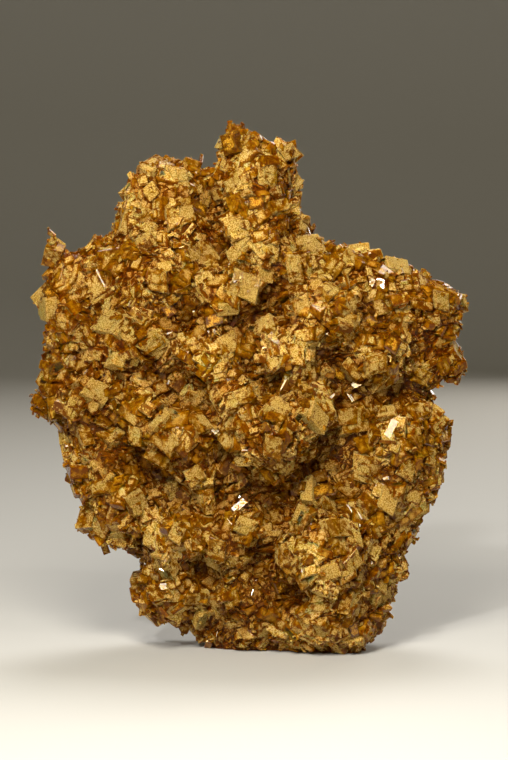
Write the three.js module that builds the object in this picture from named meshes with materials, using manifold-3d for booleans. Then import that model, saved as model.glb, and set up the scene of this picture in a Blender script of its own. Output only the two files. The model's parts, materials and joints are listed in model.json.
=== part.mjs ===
// A golden-brown baryte specimen: a standing crust with a domed front, covered by tabular crystals, with a
// broken back and a flat broken foot.
// Millimetres. X runs to the right, Y into the specimen from its crystal front, Z up. The origin is under the
// middle of the specimen's box, on the plane that it stands on.

import * as THREE from "three";
import { mergeVertices } from "three/addons/utils/BufferGeometryUtils.js";
import Module from "manifold-3d";

const wasm = await Module();
wasm.setup();

// Driving dimensions
const MIDDLE = new THREE.Vector2(0, 56); // the point of the crust that its outline is seen from
const CRUST_DETAIL = 9; // how finely the crust is divided before the crystals cover it
const FRONT_LEVEL = 7; // how far the front stands before the rim where no dome raises it
const BACK_LEVEL = 19; // how far the back stands behind the rim before it breaks
const RIM_WAVE = 2.5; // how far the rim wanders forwards and backwards
const RIM_WAVES = 3; // how often it does so on its way round
const OUTLINE_STEPS = 900; // how finely the outline's curve is read
const FRONT_ROUND = 5; // powers of how squarely the front and the back turn into the rim
const BACK_ROUND = 7;
const TABLET_SPACING = 6.8; // from one crystal to the next
const BACK_SPACING = 17; // the same on the back, which has fewer
const BACK_START = 5; // how far behind the rim the back's spacing begins
const TABLET_SIDE = [3.6, 6.2]; // shortest and longest side of a tabular crystal
const TABLET_LENGTHENING = 0.35; // how much longer than wide a crystal may be
const TABLET_THICKNESS = [1.5, 2.3];
const PRISM_ANGLE = THREE.MathUtils.degToRad(78.4); // baryte's acute angle between two prism faces
const LYING_SHARE = 0.55; // how many crystals lie on the surface, and don't stand in it
const LYING_TILT = [4, 22]; // degrees that a lying crystal leans by
const STANDING_TILT = [52, 88]; // degrees between a standing crystal's plate and the surface
const PROUD = [0.5, 1.1]; // how far a lying crystal's face stands above the crust
const REACH = [1.1, 2.2]; // how far a standing crystal's edge reaches out of the crust
const SHOW_THICKNESS = 2.4; // the same for the largest plates
const SHOW_PROUD = 0.9; // how far the middle of a largest plate's face stands before the crust
const TABLET_FLOOR = 2; // no crystal grows lower than this, beside the foot
const BLOCK = 400; // side of the blocks that cut the foot and the back
const MERGE_WITHIN = 1e-4; // points of one solid that are closer than this are one point
const COLOUR = 0x9a6a2c;
const ROUGHNESS = 0.5;

// The crust's outline seen from the front, clockwise from its highest point.
const OUTLINE = [
  [-2.2, 116.2], [4.3, 112.6], [9.2, 109.6], [9.4, 101], [10.8, 94.6], [17.6, 91.0], [30.1, 88.6],
  [37.7, 83.4], [43.6, 81.6], [46.4, 76.3], [44.7, 66.8], [39.0, 56.8], [43.0, 48.0], [42.2, 39.6],
  [38.1, 29.8], [33.4, 20.6], [32.2, 15.4], [29.8, 8.9], [27.0, 2.5], [21.5, -6], [-5.5, -6], [-11, 1.2],
  [-18.0, 5.6], [-23.4, 7.4], [-24.7, 12.6], [-25.8, 21.6], [-33.6, 23.8], [-35.8, 31.0], [-40.6, 40.8],
  [-41.6, 48.6], [-45.7, 52.9], [-46.4, 57.9], [-45.2, 64.9], [-45.8, 74.5], [-44.8, 81.7], [-41.7, 88.6],
  [-36.0, 89.8], [-31.3, 94.0], [-28.2, 101.1], [-24.6, 107.0], [-14.5, 108.0], [-11.2, 105.6],
  [-9.6, 101.4], [-7.9, 106.0], [-6.6, 113],
].map(([x, z]) => new THREE.Vector3(x, 0, z));

// The domes of the front: the middle of each, its half width and half height, and how far it stands before
// the rim.
const DOMES = [
  // the middle: the largest dome with its two shoulders, and the ones beside and below it
  { x: 3.3, z: 50, across: 11.5, tall: 11, rise: 26 },
  { x: 12, z: 55.5, across: 7.5, tall: 7.5, rise: 22 },
  { x: -3.5, z: 57, across: 8, tall: 7.5, rise: 22.5 },
  { x: -15, z: 48, across: 9.5, tall: 9.5, rise: 20 },
  { x: -23.5, z: 53.5, across: 6.5, tall: 9, rise: 15.5 },
  { x: -11, z: 41, across: 9, tall: 6, rise: 16.5 },
  // the shelf above them, and the upper middle
  { x: -8, z: 66.5, across: 12, tall: 9, rise: 19 },
  { x: 7, z: 66.5, across: 11, tall: 9, rise: 19.5 },
  { x: -6, z: 80, across: 13, tall: 9, rise: 17.5 },
  { x: 15.5, z: 75, across: 11, tall: 10, rise: 18.5 },
  { x: 6, z: 86, across: 8, tall: 8, rise: 16 },
  { x: 18, z: 86, across: 10, tall: 7.5, rise: 14.5 },
  { x: 29, z: 82, across: 13, tall: 10, rise: 15 },
  { x: 27, z: 66.5, across: 9.5, tall: 9.5, rise: 16.5 },
  { x: 34, z: 73, across: 8, tall: 8, rise: 14 },
  // the recess right of the middle
  { x: 21, z: 50, across: 14, tall: 15, rise: 10.5 },
  // the left side, from the top down
  { x: -22, z: 83.5, across: 13.5, tall: 13, rise: 17 },
  { x: -26, z: 70, across: 13.5, tall: 10, rise: 16.5 },
  { x: -35, z: 86.5, across: 8.5, tall: 7, rise: 12 },
  { x: -35, z: 76, across: 6, tall: 9, rise: 11 },
  { x: -42, z: 76, across: 6.5, tall: 9.5, rise: 12.5 },
  { x: -37, z: 55, across: 9.5, tall: 8.5, rise: 14.5 },
  { x: -35, z: 43.5, across: 9.5, tall: 6, rise: 13.5 },
  { x: -30, z: 33, across: 10.5, tall: 9.5, rise: 16.5 },
  // the two peaks
  { x: -19.5, z: 101, across: 11, tall: 11.5, rise: 13.5 },
  { x: -16, z: 91.5, across: 8.5, tall: 9, rise: 14.5 },
  { x: 1.5, z: 103, across: 10.5, tall: 12.5, rise: 13.5 },
  { x: -3, z: 112, across: 7, tall: 6, rise: 10 },
  { x: 0.5, z: 93, across: 11, tall: 8.5, rise: 15 },
  // the right side, from the top down
  { x: 41, z: 76, across: 8.5, tall: 10.5, rise: 12.5 },
  { x: 38.5, z: 62, across: 6.5, tall: 6, rise: 10 },
  { x: 34.5, z: 45, across: 10.5, tall: 14, rise: 15 },
  { x: 28.5, z: 34, across: 8, tall: 7, rise: 12.5 },
  // the lower side
  { x: -4.7, z: 26.5, across: 10, tall: 9, rise: 19.5 },
  { x: -17.5, z: 26.5, across: 9, tall: 8, rise: 17 },
  { x: -19, z: 13.5, across: 10.5, tall: 9.5, rise: 16 },
  { x: -1, z: 11.5, across: 10.5, tall: 10, rise: 14.5 },
  { x: 11.5, z: 34.5, across: 7.5, tall: 5.5, rise: 15 },
  { x: 16.5, z: 22.5, across: 14, tall: 12, rise: 22 },
  { x: 28, z: 21, across: 8, tall: 11, rise: 15 },
  { x: 18.5, z: 9, across: 13.5, tall: 10, rise: 18.5 },
];

// The lumps that thicken the rim: the middle of each and its radius.
const RIM_LUMPS = [
  [-2.5, 0, 110.3, 5.2],
  [5.6, 1, 106.8, 5.4],
  [-21.5, 1, 102.6, 6.6],
  [-14.2, 0, 103.6, 5.6],
  [-41.3, 1, 86.2, 4],
  [-41, 1, 77.5, 6.6],
  [-42.4, 1, 57.5, 6],
  [-31, 0, 29.5, 6.8],
  [-20.5, 1, 13, 6.6],
  [24.6, 1, 12, 6.2],
  [36.5, 0, 46.5, 8],
  [40, 1, 65, 6.2],
  [40.6, 1, 75.8, 7],
];

// The largest plates, which all face the front: the middle of each, its width and height, how far it is
// turned as seen from the front, then how far its face looks to the right and up, in degrees.
const SHOW_PLATES = [
  // the two peaks
  { x: -3.2, z: 113, wide: 5.4, tall: 3, turn: 4, right: -8, up: 38 },
  { x: 7.4, z: 110.4, wide: 4.2, tall: 3.4, turn: 22, right: 18, up: 14 },
  { x: -16, z: 105, wide: 3.6, tall: 5, turn: 28, right: 10, up: 12 },
  { x: -7.4, z: 98.6, wide: 3.6, tall: 3.8, turn: 12, right: -14, up: 8 },
  { x: -2.9, z: 94, wide: 5, tall: 4, turn: -4, right: 4, up: 6 },
  { x: 4, z: 89.2, wide: 3.4, tall: 4.8, turn: 3, right: 10, up: -4 },
  { x: -24, z: 97, wide: 4.6, tall: 3.6, turn: -18, right: -12, up: 10 },
  { x: -21.5, z: 91.5, wide: 4.8, tall: 3.6, turn: 8, right: -4, up: 16 },
  // the upper middle
  { x: -1.5, z: 81.4, wide: 6.4, tall: 5.6, turn: -24, right: -6, up: 12 },
  { x: -5, z: 76.8, wide: 5, tall: 3.2, turn: 9, right: -10, up: -26 },
  { x: -20.4, z: 82.6, wide: 4.4, tall: 4.6, turn: 16, right: -6, up: 6 },
  { x: -16.4, z: 76.4, wide: 3.4, tall: 4.4, turn: -20, right: -16, up: -4 },
  { x: -11.4, z: 74.2, wide: 3.8, tall: 4.4, turn: 8, right: 10, up: -8 },
  { x: 20.6, z: 86.6, wide: 4.2, tall: 5, turn: -32, right: 14, up: 10 },
  { x: 10.5, z: 77.5, wide: 4, tall: 3.4, turn: 30, right: 10, up: -6 },
  { x: 27, z: 64.6, wide: 4.8, tall: 4.4, turn: 14, right: 12, up: -6 },
  { x: 31, z: 68, wide: 4.4, tall: 3.4, turn: -12, right: 30, up: 4 },
  { x: 33, z: 75.4, wide: 3.6, tall: 4, turn: 24, right: 14, up: 14 },
  // the row above the central dome
  { x: -8.3, z: 62.6, wide: 3.8, tall: 3.8, turn: 20, right: -10, up: 8 },
  { x: -1.6, z: 63, wide: 3.6, tall: 3.2, turn: -14, right: -4, up: 10 },
  { x: 5.4, z: 65.6, wide: 4.6, tall: 3.4, turn: 38, right: 12, up: 18 },
  { x: 9.8, z: 61.8, wide: 3.8, tall: 3.4, turn: -24, right: 16, up: 4 },
  // the central dome and its left neighbour
  { x: -2.4, z: 57.2, wide: 6, tall: 3.6, turn: 26, right: -14, up: 30 },
  { x: 4.4, z: 47.4, wide: 4.2, tall: 4.6, turn: 6, right: 8, up: -6 },
  { x: -5, z: 48.6, wide: 3.8, tall: 4, turn: -30, right: -14, up: -2 },
  { x: 12, z: 45.4, wide: 4, tall: 3.4, turn: 18, right: 24, up: -16 },
  { x: -17.4, z: 47.4, wide: 3.4, tall: 4.4, turn: -22, right: -12, up: 6 },
  { x: -25.2, z: 49.2, wide: 3.4, tall: 3.8, turn: 12, right: -20, up: 2 },
  // the lower domes
  { x: -22, z: 26.4, wide: 3.8, tall: 4.8, turn: 8, right: -18, up: 6 },
  { x: -16.4, z: 27.6, wide: 3.4, tall: 4, turn: -10, right: 2, up: 10 },
  { x: -1.6, z: 29.4, wide: 4.4, tall: 3.8, turn: -22, right: 6, up: 16 },
  { x: -7.6, z: 24.4, wide: 4.2, tall: 4.6, turn: 4, right: -8, up: -8 },
  { x: -19.6, z: 14.4, wide: 4.8, tall: 3.8, turn: 16, right: -12, up: 8 },
  { x: -4.4, z: 12.6, wide: 3.8, tall: 3.4, turn: 34, right: -6, up: 10 },
  { x: 15.4, z: 12.6, wide: 4.6, tall: 3.8, turn: -12, right: 4, up: -4 },
  { x: 20.6, z: 19.4, wide: 3.8, tall: 3.4, turn: 26, right: 14, up: 8 },
  { x: 11.6, z: 18.4, wide: 3.8, tall: 4, turn: -36, right: -10, up: 4 },
  // the left rim
  { x: -41.4, z: 83, wide: 4.6, tall: 4, turn: -14, right: -26, up: 18 },
  { x: -34, z: 86.4, wide: 4.6, tall: 3.6, turn: 10, right: -8, up: 22 },
  { x: -41.4, z: 73.6, wide: 3.4, tall: 3.4, turn: 20, right: -28, up: 4 },
  { x: -40.4, z: 55.2, wide: 4.4, tall: 3.6, turn: -24, right: -22, up: 12 },
  { x: -33, z: 37.4, wide: 5, tall: 3.4, turn: 6, right: -10, up: 20 },
  // the right rim
  { x: 41.6, z: 78, wide: 3.8, tall: 4.2, turn: 10, right: 24, up: 10 },
  { x: 37.4, z: 61.4, wide: 3.8, tall: 3.6, turn: -20, right: 20, up: -12 },
  { x: 35.4, z: 48.6, wide: 3.8, tall: 4.2, turn: 14, right: 18, up: 4 },
  { x: 39.2, z: 44, wide: 3, tall: 4.6, turn: 4, right: 34, up: 2 },
  { x: 29.8, z: 34.4, wide: 4.4, tall: 4.6, turn: -8, right: 14, up: -4 },
];

// The planes that the back broke along: a point on each, and how it leans in degrees about X and Z.
const BACK_BREAKS = [
  { at: [0, 17, 40], lean: [-3, 4] },
  { at: [-20, 15, 70], lean: [7, 13] },
  { at: [22, 15.5, 66], lean: [5, -11] },
  { at: [0, 13, 98], lean: [16, 2] },
  { at: [10, 17, 16], lean: [-14, -4] },
];

/** A repeatable stream of numbers from 0 to 1. */
function seeded(seed) {
  let state = seed;
  return () => {
    state = (Math.imul(state, 1664525) + 1013904223) >>> 0;
    return state / 2 ** 32;
  };
}

const random = seeded(19);
const between = ([low, high]) => low + (high - low) * random();

/** A manifold solid made from a closed three.js geometry. */
function solidOf(geometry) {
  const bare = geometry.clone();
  bare.deleteAttribute("normal");
  bare.deleteAttribute("uv");
  const merged = mergeVertices(bare, MERGE_WITHIN);
  return new wasm.Manifold(
    new wasm.Mesh({
      numProp: 3,
      vertProperties: merged.attributes.position.array,
      triVerts: new Uint32Array(merged.index.array),
    }),
  );
}

/** A three.js geometry made from a manifold solid. */
function geometryOf(solid) {
  const mesh = solid.getMesh();
  const geometry = new THREE.BufferGeometry();
  geometry.setAttribute("position", new THREE.BufferAttribute(mesh.vertProperties, 3));
  geometry.setIndex(new THREE.BufferAttribute(mesh.triVerts, 1));
  return geometry;
}

// The outline's distance from the middle, by its angle round the middle.
const rim = new THREE.CatmullRomCurve3(OUTLINE, true).getPoints(OUTLINE_STEPS).map((point) => {
  const arm = new THREE.Vector2(point.x, point.z).sub(MIDDLE);
  return { angle: arm.angle(), reach: arm.length() };
});

/** How far the outline is from the middle in one direction. */
function outlineReach(angle) {
  const apart = (spot) => Math.abs(Math.atan2(Math.sin(spot.angle - angle), Math.cos(spot.angle - angle)));
  return rim.reduce((best, spot) => (apart(spot) < apart(best) ? spot : best)).reach;
}

/** How far the front stands before the rim at one place, away from the rim. */
function frontRise(x, z) {
  const caps = DOMES.map(({ x: middleX, z: middleZ, across, tall, rise }) => {
    const away = Math.hypot((x - middleX) / across, (z - middleZ) / tall);
    return away < 1 ? rise * Math.sqrt(1 - away * away) : 0;
  });
  return Math.max(FRONT_LEVEL, ...caps);
}

/** How far the rim wanders at one angle round the middle. */
const rimWave = (angle) => RIM_WAVE * Math.sin(RIM_WAVES * angle + 1);

/** The crust's front at one place, given how far out it is from the middle to the rim, from 0 to 1. */
function frontAt(x, z, angle, outward) {
  return rimWave(angle) * outward - frontRise(x, z) * Math.sqrt(1 - outward ** FRONT_ROUND);
}

/** The crust's front at one place. */
function crustFront(x, z) {
  const arm = new THREE.Vector2(x, z).sub(MIDDLE);
  return frontAt(x, z, arm.angle(), Math.min(arm.length() / outlineReach(arm.angle()), 1));
}

/** The crust without its crystals: a ball pressed flat to the outline, with the domes raised on its front. */
function crustGeometry() {
  const crust = new THREE.IcosahedronGeometry(1, CRUST_DETAIL);
  const spots = crust.attributes.position;
  for (let i = 0; i < spots.count; i++) {
    const way = new THREE.Vector3().fromBufferAttribute(spots, i).normalize();
    const angle = Math.atan2(way.z, way.x);
    const outward = Math.sqrt(1 - Math.abs(way.y));
    const reach = outlineReach(angle) * outward;
    const x = MIDDLE.x + reach * Math.cos(angle);
    const z = MIDDLE.y + reach * Math.sin(angle);
    const back = rimWave(angle) * outward + BACK_LEVEL * Math.sqrt(1 - outward ** BACK_ROUND);
    spots.setXYZ(i, x, way.y < 0 ? frontAt(x, z, angle, outward) : back, z);
  }
  return crust;
}

/** One of the rim's lumps. */
function lumpGeometry([x, y, z, radius]) {
  const lump = new THREE.IcosahedronGeometry(radius, 1);
  lump.rotateX(2 * Math.PI * random());
  lump.rotateZ(2 * Math.PI * random());
  return lump.translate(x, y, z);
}

/** A tabular crystal: a plate with baryte's four prism faces round it, lying in XY about the origin. */
function tablet(side, length, thickness) {
  const lean = side / Math.tan(PRISM_ANGLE);
  const outline = new THREE.Shape([
    new THREE.Vector2(-length / 2 - lean / 2, -side / 2),
    new THREE.Vector2(length / 2 - lean / 2, -side / 2),
    new THREE.Vector2(length / 2 + lean / 2, side / 2),
    new THREE.Vector2(-length / 2 + lean / 2, side / 2),
  ]);
  const plate = new THREE.ExtrudeGeometry(outline, { depth: thickness, bevelEnabled: false });
  return plate.translate(0, 0, -thickness / 2);
}

/** One of the largest plates, set on the front of the crust. */
function showPlate({ x, z, wide, tall, turn, right, up }) {
  const plate = tablet(tall, wide, SHOW_THICKNESS);
  plate.rotateX(Math.PI / 2);
  plate.rotateY(-THREE.MathUtils.degToRad(turn));
  plate.rotateX(-THREE.MathUtils.degToRad(up));
  plate.rotateZ(THREE.MathUtils.degToRad(right));
  return solidOf(plate.translate(x, crustFront(x, z) - SHOW_PROUD + SHOW_THICKNESS / 2, z));
}

/** A tablet set in a surface, at a point on it with that normal, lying on it or standing in it. */
function setTablet(point, normal) {
  const side = between(TABLET_SIDE);
  const length = side * (1 + TABLET_LENGTHENING * random());
  const thickness = between(TABLET_THICKNESS);
  const lying = random() < LYING_SHARE;
  const tilt = THREE.MathUtils.degToRad(between(lying ? LYING_TILT : STANDING_TILT));
  const out = lying ? between(PROUD) - thickness / 2 : between(REACH) - length / 2;
  const turn = new THREE.Quaternion()
    .setFromUnitVectors(new THREE.Vector3(0, 0, 1), normal)
    .multiply(new THREE.Quaternion().setFromAxisAngle(new THREE.Vector3(0, 0, 1), 2 * Math.PI * random()))
    .multiply(new THREE.Quaternion().setFromAxisAngle(new THREE.Vector3(0, 1, 0), tilt));
  const plate = tablet(side, length, thickness);
  plate.applyQuaternion(turn);
  const seat = point.clone().addScaledVector(normal, out);
  return solidOf(plate.translate(seat.x, seat.y, seat.z));
}

/** A block to cut away with: its face goes through a point and leans by degrees about X and Z. */
function backBlock({ at, lean }) {
  const block = new THREE.BoxGeometry(BLOCK, BLOCK, BLOCK);
  block.translate(0, BLOCK / 2, 0);
  block.rotateX(THREE.MathUtils.degToRad(lean[0]));
  block.rotateZ(THREE.MathUtils.degToRad(lean[1]));
  return solidOf(block.translate(...at));
}

/** The block below the plane that the specimen stands on. */
function footBlock() {
  const block = new THREE.BoxGeometry(BLOCK, BLOCK, BLOCK);
  return solidOf(block.translate(0, 0, -BLOCK / 2));
}

/** Tablets spread evenly over the crust, each on one of the faces that the crust is divided into. */
function tabletsOn(crust, plates) {
  const spots = crust.attributes.position;
  const faces = Array.from({ length: spots.count / 3 }, (_, i) => ({ face: i, order: random() }));
  faces.sort((a, b) => a.order - b.order);
  const taken = [...plates];
  const grown = [];
  for (const { face } of faces) {
    const [a, b, c] = [0, 1, 2].map((k) => new THREE.Vector3().fromBufferAttribute(spots, 3 * face + k));
    const point = a.clone().add(b).add(c).divideScalar(3);
    const spacing = point.y > BACK_START ? BACK_SPACING : TABLET_SPACING;
    if (point.z < TABLET_FLOOR || taken.some((other) => other.distanceTo(point) < spacing)) continue;
    taken.push(point);
    grown.push(setTablet(point, new THREE.Triangle(a, b, c).getNormal(new THREE.Vector3())));
  }
  return grown;
}

/** The crust with its lumps, broken along the back. */
function crustSolid() {
  const crust = [crustGeometry(), ...RIM_LUMPS.map(lumpGeometry)].map(solidOf);
  return BACK_BREAKS.map(backBlock).reduce((left, block) => left.subtract(block), wasm.Manifold.union(crust));
}

/** The whole specimen in one piece: the crust, its largest plates and its other tablets, cut off level. */
function specimenGeometry() {
  const plated = wasm.Manifold.union([crustSolid(), ...SHOW_PLATES.map(showPlate)]);
  const seats = SHOW_PLATES.map(({ x, z }) => new THREE.Vector3(x, crustFront(x, z), z));
  const tablets = tabletsOn(geometryOf(plated).toNonIndexed(), seats);
  const grown = wasm.Manifold.union([plated, ...tablets]).subtract(footBlock());
  const [whole] = grown.decompose().sort((a, b) => b.volume() - a.volume());
  const geometry = geometryOf(whole);
  geometry.computeBoundingBox();
  const middle = geometry.boundingBox.getCenter(new THREE.Vector3());
  return geometry.translate(-middle.x, -middle.y, 0);
}

const baryte = new THREE.MeshStandardMaterial({ color: COLOUR, roughness: ROUGHNESS, metalness: 0 });
const cluster = new THREE.Mesh(specimenGeometry(), baryte);
cluster.name = "baryte_cluster";

const specimen = new THREE.Group();
specimen.add(cluster);

export default specimen;
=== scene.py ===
"""The looks of a golden-brown baryte specimen.

A standing crust of grown-together baryte, covered by thousands of small tabular crystals. Their flat faces are
matt and tan, as if sanded, and their edges are smooth and amber. Everything is in metres, in the frame's own
place, and grows on the frame's surface.
"""

import json
import logging
import math
import random
from dataclasses import dataclass, field, fields
from enum import Enum, IntEnum, auto
from functools import partial, reduce

import bmesh
import bpy
import numpy as np
from mathutils import Matrix, Vector
from mathutils.bvhtree import BVHTree

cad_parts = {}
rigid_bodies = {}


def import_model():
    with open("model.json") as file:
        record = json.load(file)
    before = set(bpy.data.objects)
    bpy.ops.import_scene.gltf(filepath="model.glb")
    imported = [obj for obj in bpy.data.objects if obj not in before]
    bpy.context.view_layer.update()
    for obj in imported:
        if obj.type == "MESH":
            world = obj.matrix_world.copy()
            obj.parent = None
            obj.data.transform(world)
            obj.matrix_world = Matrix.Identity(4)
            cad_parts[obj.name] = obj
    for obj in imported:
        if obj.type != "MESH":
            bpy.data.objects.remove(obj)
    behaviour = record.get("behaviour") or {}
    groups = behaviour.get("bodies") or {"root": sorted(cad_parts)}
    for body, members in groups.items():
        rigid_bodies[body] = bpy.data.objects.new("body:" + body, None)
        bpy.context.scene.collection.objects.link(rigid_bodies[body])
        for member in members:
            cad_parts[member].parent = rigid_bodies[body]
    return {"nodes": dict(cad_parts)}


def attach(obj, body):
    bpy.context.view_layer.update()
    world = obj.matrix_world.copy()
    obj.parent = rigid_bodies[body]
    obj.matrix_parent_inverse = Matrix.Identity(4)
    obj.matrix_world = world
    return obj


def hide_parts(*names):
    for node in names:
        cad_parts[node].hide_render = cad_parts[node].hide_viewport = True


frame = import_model()

MM = 0.001
BODY = "root"
CLUSTER = "baryte_cluster"

Colour = tuple[float, float, float]
Span = tuple[float, float]
Socket = bpy.types.NodeSocket
Sockets = bpy.types.bpy_prop_collection
Values = dict[str, object]

WHOLE: Span = (0.0, 1.0)
USUAL: Span = (0.3, 0.7)  # nearly all of a noise's values
CORE: Span = (0.35, 0.65)  # most of a noise's values
MIDDLE_TINT = 0.5
# a point this far out of the crust gets none of the painted crevice shade
FREE = 2.0 * MM  # a point this far out of the crust is in no crevice

log = logging.getLogger("baryte")


class Trait(str, Enum):
    """The named values that the meshes carry."""

    FROST = "frost"  # how frosted a point is
    TINT = "tint"  # one number for each crystal
    GROW = "grow"  # how densely crystals grow here
    PROUD = "proud"  # how far out of the crust a point is
    VALLEY = "valley"  # from 1 between the domes to -1 on top of them


class Region(Enum):
    """What one face of the frame's surface is on the real specimen."""

    CRUST = auto()
    PLATE_FACE = auto()
    PLATE_RIM = auto()
    BREAK = auto()
    FOOT = auto()


class Draw(IntEnum):
    """The random numbers of each crystal, as steps from its coat's seed."""

    SIZE = 1
    LYING = 2
    TILT = 3
    SPIN = 5
    OWN_SPIN = 6
    LENGTH = 7
    WIDTH = 8
    HEIGHT = 9
    TINT = 10


class Habit(Enum):
    """The outlines that a tabular crystal may have, as corner points about its middle, a unit wide."""

    RHOMB = ((-0.60, -0.49), (0.40, -0.49), (0.60, 0.49), (-0.40, 0.49))
    OBLONG = ((-0.72, -0.45), (0.70, -0.45), (0.72, 0.45), (-0.70, 0.45))
    CLIPPED = ((-0.60, -0.42), (-0.50, -0.52), (0.42, -0.50), (0.60, 0.40), (0.50, 0.50), (-0.42, 0.50))
    BLOCK = ((-0.52, -0.50), (0.46, -0.50), (0.52, 0.50), (-0.46, 0.50))


class Sheet:
    """Adds nodes to a node tree, with their values and links in one call."""

    def __init__(self, tree: bpy.types.NodeTree) -> None:
        """Keeps the tree that the nodes go to."""
        self.tree = tree

    @staticmethod
    def find(sockets: Sockets, name: str) -> Socket:
        """Finds an enabled socket.

        Args:
            sockets: the sockets of one node.
            name: the socket's identifier, or else its name.

        Returns:
            The socket.
        """
        usable = [socket for socket in sockets if socket.enabled]
        exact = [socket for socket in usable if socket.identifier == name]
        return (exact or [socket for socket in usable if socket.name == name])[0]

    def declare(self, **kinds: dict[str, str]) -> None:
        """Gives a group its sockets.

        Args:
            kinds: for INPUT and OUTPUT, the sockets' names and kinds.
        """
        for way, sockets in kinds.items():
            for name, kind in sockets.items():
                self.tree.interface.new_socket(name, in_out=way, socket_type=f"NodeSocket{kind}")
        self.given = self.add("NodeGroupInput").outputs

    def __getitem__(self, name: str) -> Socket:
        """Gives one of the group's inputs."""
        return self.given[name]

    def add(self, kind: str, values: Values | None = None, **settings: object) -> bpy.types.Node:
        """Adds one node.

        Args:
            kind: the node's type.
            values: for each input, by identifier or name, a socket to link or a constant.
            settings: the node's own properties.

        Returns:
            The new node.
        """
        node = self.tree.nodes.new(kind)
        for name, setting in settings.items():
            setattr(node, name, setting)
        for name, value in (values or {}).items():
            socket = self.find(node.inputs, name)
            if isinstance(value, Socket):
                self.tree.links.new(value, socket)
            else:
                socket.default_value = value
        return node

    def out(self, kind: str, output: str, values: Values | None = None, **settings: object) -> Socket:
        """Adds one node, as add does, and gives its output of this identifier or name."""
        return self.find(self.add(kind, values, **settings).outputs, output)

    def maths(self, operation: str, *values: object, clamp: bool = False) -> Socket:
        """Adds a Math node of one or two values and gives its result."""
        given = dict(zip(("Value", "Value_001"), values))
        return self.out("ShaderNodeMath", "Value", given, operation=operation, use_clamp=clamp)

    def total(self, *terms: object) -> Socket:
        """Adds values up from the first to the last."""
        return reduce(partial(self.maths, "ADD"), terms)

    def product(self, *factors: object) -> Socket:
        """Multiplies values from the first to the last."""
        return reduce(partial(self.maths, "MULTIPLY"), factors)

    def span(
        self, value: Socket, low: float, high: float, to_low: object = 0.0, to_high: object = 1.0
    ) -> Socket:
        """Maps a value from one span to another, held to its ends, and gives the result."""
        values = {"Value": value, "From Min": low, "From Max": high, "To Min": to_low, "To Max": to_high}
        return self.out("ShaderNodeMapRange", "Result", values)

    def swing(self, value: Socket, limits: Span, reach: float) -> Socket:
        """Maps a value between its limits to a swing of the given reach about zero."""
        return self.span(value, *limits, -reach, reach)

    def vectors(self, operation: str, first: object, second: object) -> Socket:
        """Adds a Vector Math node.

        Args:
            operation: what it does.
            first: a vector.
            second: another vector, or the factor of a scale.

        Returns:
            Its result.
        """
        values = {"Vector": first, "Scale" if operation == "SCALE" else "Vector_001": second}
        output = "Value" if operation == "DOT_PRODUCT" else "Vector"
        return self.out("ShaderNodeVectorMath", output, values, operation=operation)

    def split(self, vector: Socket) -> Sockets:
        """Gives the three parts of a vector."""
        return self.add("ShaderNodeSeparateXYZ", {"Vector": vector}).outputs

    def joined(self, x: object, y: object, z: object) -> Socket:
        """Makes a vector of its three parts."""
        return self.out("ShaderNodeCombineXYZ", "Vector", {"X": x, "Y": y, "Z": z})

    def noise(self, place: Socket, size: Socket, detail: float) -> Socket:
        """Adds a noise whose features are as large as the size says, and gives its value."""
        values = {"Vector": place, "Scale": self.maths("DIVIDE", 1.0, size), "Detail": detail}
        return self.out("ShaderNodeTexNoise", "Fac", values)

    def mix(self, factor: object, first: object, second: object, blend: str = "MIX") -> Socket:
        """Mixes two colours and gives the result."""
        values = {"Factor_Float": factor, "A_Color": first, "B_Color": second}
        return self.out("ShaderNodeMix", "Result_Color", values, data_type="RGBA", blend_type=blend)

    def stored(self, geometry: Socket, name: str, value: Socket, domain: str = "POINT") -> Socket:
        """Stores a named value on a geometry.

        Args:
            geometry: the geometry.
            name: the value's name.
            value: the value.
            domain: what has one value each.

        Returns:
            The geometry with the value.
        """
        values = {"Geometry": geometry, "Name": name, "Value": value}
        kind = "GeometryNodeStoreNamedAttribute"
        return self.out(kind, "Geometry", values, data_type="FLOAT", domain=domain)

    def named(self, name: str) -> Socket:
        """Gives a named value of the geometry."""
        return self.out("GeometryNodeInputNamedAttribute", "Attribute", {"Name": name}, data_type="FLOAT")


def solid(colour: Colour) -> tuple[float, float, float, float]:
    """A colour with full alpha, as a colour socket takes it."""
    return (*colour, 1.0)


def mesh_data(name: str, mesh: bmesh.types.BMesh) -> bpy.types.Mesh:
    """Turns a working mesh into mesh data, and frees it.

    Args:
        name: the data's name.
        mesh: the working mesh, which is gone afterwards.

    Returns:
        The mesh data.
    """
    data = bpy.data.meshes.new(name)
    mesh.to_mesh(data)
    mesh.free()
    return data


def placed(data: bpy.types.ID, place: Vector | None = None, target: Vector | None = None) -> bpy.types.Object:
    """Puts an object in the scene, named as its data is.

    Args:
        data: its mesh, lamp or camera.
        place: where a lamp or a camera is. A mesh stays at the origin.
        target: what it looks at.

    Returns:
        The object.
    """
    made = bpy.data.objects.new(data.name, data)
    bpy.context.scene.collection.objects.link(made)
    if target:
        made.location = place
        made.rotation_euler = (target - made.location).to_track_quat("-Z", "Y").to_euler()
    return made


def evaluated(carrier: bpy.types.Object, name: str) -> bpy.types.Mesh:
    """Makes a plain mesh of what a carrier's modifier makes, and removes the carrier.

    Args:
        carrier: the object with the modifier.
        name: the mesh's name.

    Returns:
        The mesh.
    """
    bpy.context.view_layer.update()
    seen = carrier.evaluated_get(bpy.context.evaluated_depsgraph_get())
    made = bpy.data.meshes.new_from_object(seen)
    made.name = name
    bpy.data.objects.remove(carrier)
    return made


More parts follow.
